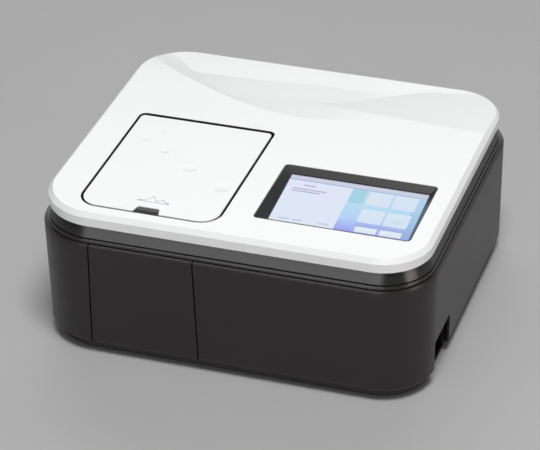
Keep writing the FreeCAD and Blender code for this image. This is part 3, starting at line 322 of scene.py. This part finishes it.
def extruded(name, points, z0, z1, material, body, place=None):
    """A prism between two heights over an outline given in millimetres, moved by place."""
    count = len(points)
    verts = [(x * MM, y * MM, z * MM) for z in (z0, z1) for x, y in points]
    faces = [tuple(range(count - 1, -1, -1)), tuple(range(count, 2 * count))]
    faces += [(n, (n + 1) % count, count + (n + 1) % count, count + n) for n in range(count)]
    mesh = bpy.data.meshes.new(name)
    mesh.from_pydata(verts, [], faces)
    mesh.materials.append(material)
    if place:
        mesh.transform(place)
    mesh.update()
    obj = bpy.data.objects.new(name, mesh)
    bpy.context.scene.collection.objects.link(obj)
    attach(obj, body)


# ---------------------------------------------------------------- screen picture

def panel_face():
    """The middle of the panel's upper face, on the screen's own sloping axes."""
    low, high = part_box("lcd_module")
    tip = Matrix.Rotation(math.radians(SCREEN_TILT), 4, "X")
    rise = Matrix.Translation((0, 0, PANEL_THICK / 2 * MM))
    return Matrix.Translation((low + high) / 2) @ tip @ rise


def screen_picture():
    """The home page shown on the screen, as thin glowing layers on the panel."""
    place = panel_face()
    left, back = -PICTURE_WIDTH / 2, PICTURE_DEPTH / 2
    for name, box, level, near, far, corner in screen_layers():
        x0, x1, y0, y1 = box
        z0 = LAYER_START + LAYER_STEP * level
        tile("screen_" + name, left + x0, left + x1, back - y1, back - y0, z0, z0 + LAYER_THICK,
             lit_material("screen_" + name, near, far), "instrument", corner, place)


def screen_layers():
    """Every patch of the home page.

    A row holds its name, its left, right, back and front edge from the picture's back left corner,
    its level, its colours at the near and at the far edge, and its corner radius.
    """
    right, front = PICTURE_WIDTH, PICTURE_DEPTH
    middle, side, bar = 71.5, 143, 8.4
    rows = [
        ("bar", (0, right, 0, 6.5), 0, (196, 204, 226), (206, 208, 226), 0),
        ("bar_shade", (0, right, 6.5, bar), 0, (168, 186, 216), (166, 176, 206), 0),
        ("list", (0, middle, bar, front), 0, (218, 230, 246), (222, 228, 246), 0),
        ("field_top", (middle, right, bar, 32.3), 0, (172, 214, 238), (186, 214, 238), 0),
        ("field_mid", (middle, right, 32.3, 59.2), 0, (172, 208, 244), (178, 218, 240), 0),
        ("field_low", (middle, right, 59.2, front), 0, (142, 142, 236), (172, 208, 244), 0),
        ("side_top", (side, right, bar, 45), 1, (155, 196, 230), (176, 208, 236), 0),
        ("side_low", (side, right, 45, front), 1, (140, 162, 218), (155, 196, 230), 0),
        ("column", (middle + 0.8, 88.5, 9, 34), 1, (158, 205, 228), (152, 206, 224), 0),
    ]
    for number, (x, y) in enumerate(((91.5, 9.9), (120, 9.9), (91.5, 41.3), (120, 41.3))):
        box = (x, x + 26, y, y + 24.2)
        rows.append(("tile_%d" % number, box, 2, (210, 224, 245), (212, 228, 244), 2.0))
    rows.append(("band", (91.5, 146, 66, 72.7), 2, (150, 166, 226), (166, 184, 236), 0.5))
    for number, x in enumerate((93.5, 120.5)):
        box = (x, x + 24, 73.6, 83)
        rows.append(("button_%d" % number, box, 2, (218, 230, 242), (226, 236, 244), 0.8))
    for number, (x, y, length) in enumerate(((18, 15.2, 14), (8, 22.4, 38), (8, 26.5, 32))):
        box = (x, x + length, y, y + 1.7)
        rows.append(("line_%d" % number, box, 1, (156, 160, 188), (160, 164, 192), 0.6))
    rows.append(("icon_a", (95, 100.5, 21.5, 29.6), 3, (222, 226, 212), (220, 226, 216), 1.6))
    rows.append(("icon_b", (129, 139, 53.8, 60), 3, (196, 222, 226), (200, 224, 232), 1.6))
    for number, (x, length) in enumerate(((9, 12), (25, 10), (53, 12))):
        box = (x, x + length, 77.1, 79.8)
        rows.append(("foot_%d" % number, box, 1, (184, 202, 212), (192, 208, 218), 0.8))
    return rows


# ---------------------------------------------------------------- mark on the lid

def lid_mark():
    """A plain absorption curve over a base line, printed on the lid."""
    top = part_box("sample_lid")[1].z / MM
    ink = finish_material("lid_ink", (0.2, 0.24, 0.3), 0.45, 1500, 0.05, 0.08)
    upper, lower = [], []
    for step in range(MARK_STEPS + 1):
        share = step / MARK_STEPS
        bell = sum(height * math.exp(-((share - place) / spread) ** 2)
                   for place, spread, height in MARK_PEAKS)
        across = MARK_LEFT + MARK_WIDTH * share
        upper.append((across, MARK_BASE + bell + 1.4))
        lower.append((across, MARK_BASE + bell + 0.4))
    extruded("lid_curve", lower + upper[::-1], top, top + INK_THICK, ink, "lid")
    tile("lid_base_line", MARK_LEFT, MARK_LEFT + MARK_WIDTH, MARK_BASE - 1.2, MARK_BASE - 0.5,
         top, top + INK_THICK, ink, "lid")


# ---------------------------------------------------------------- stage

def floor():
    """A plain pale floor."""
    bpy.ops.mesh.primitive_plane_add(size=30, location=(0, 4, 0))
    plane = bpy.context.active_object
    plane.name = "floor"
    plane.data.materials.append(finish_material("floor", (0.445, 0.443, 0.445), 0.6, 300, 0.02, 0.01))


def area_light(name, place, aim, width, height, power, color):
    """A rectangular light at a place, turned towards a point."""
    data = bpy.data.lights.new(name, "AREA")
    data.shape = "RECTANGLE"
    data.size = width
    data.size_y = height
    data.energy = power
    data.color = color
    lamp = bpy.data.objects.new(name, data)
    bpy.context.scene.collection.objects.link(lamp)
    lamp.location = place
    lamp.rotation_euler = (Vector(aim) - Vector(place)).to_track_quat("-Z", "Y").to_euler()


def lights():
    """A soft studio: a key overhead, and panels in front, at the right and behind."""
    world = bpy.data.worlds.new("studio")
    bpy.context.scene.world = world
    world.use_nodes = True
    background = world.node_tree.nodes["Background"]
    background.inputs["Color"].default_value = WORLD_COLOR
    background.inputs["Strength"].default_value = WORLD_STRENGTH
    for light in LIGHTS:
        area_light(*light)


def camera():
    """The camera, at the picture's angle and distance."""
    data = bpy.data.cameras.new("camera")
    data.sensor_width = SENSOR_WIDTH
    data.lens = LENS
    data.clip_end = FAR_LIMIT
    cam = bpy.data.objects.new("camera", data)
    bpy.context.scene.collection.objects.link(cam)
    yaw, pitch, roll = math.radians(YAW), math.radians(PITCH), math.radians(ROLL)
    level = math.cos(pitch)
    forward = Vector((math.sin(yaw) * level, math.cos(yaw) * level, -math.sin(pitch)))
    side = Vector((math.cos(yaw), -math.sin(yaw), 0))
    down = forward.cross(side)
    right = side * math.cos(roll) + down * math.sin(roll)
    up = -(down * math.cos(roll) - side * math.sin(roll))
    place = Vector(LOOK_AT) - forward * DISTANCE
    rotation = Matrix((right, up, -forward)).transposed().to_4x4()
    cam.matrix_world = Matrix.Translation(place) @ rotation
    bpy.context.scene.camera = cam


dress_frame()
screen_picture()
lid_mark()
floor()
lights()
camera()
bpy.context.scene.view_settings.view_transform = "Standard"
bpy.context.scene.view_settings.look = "None"
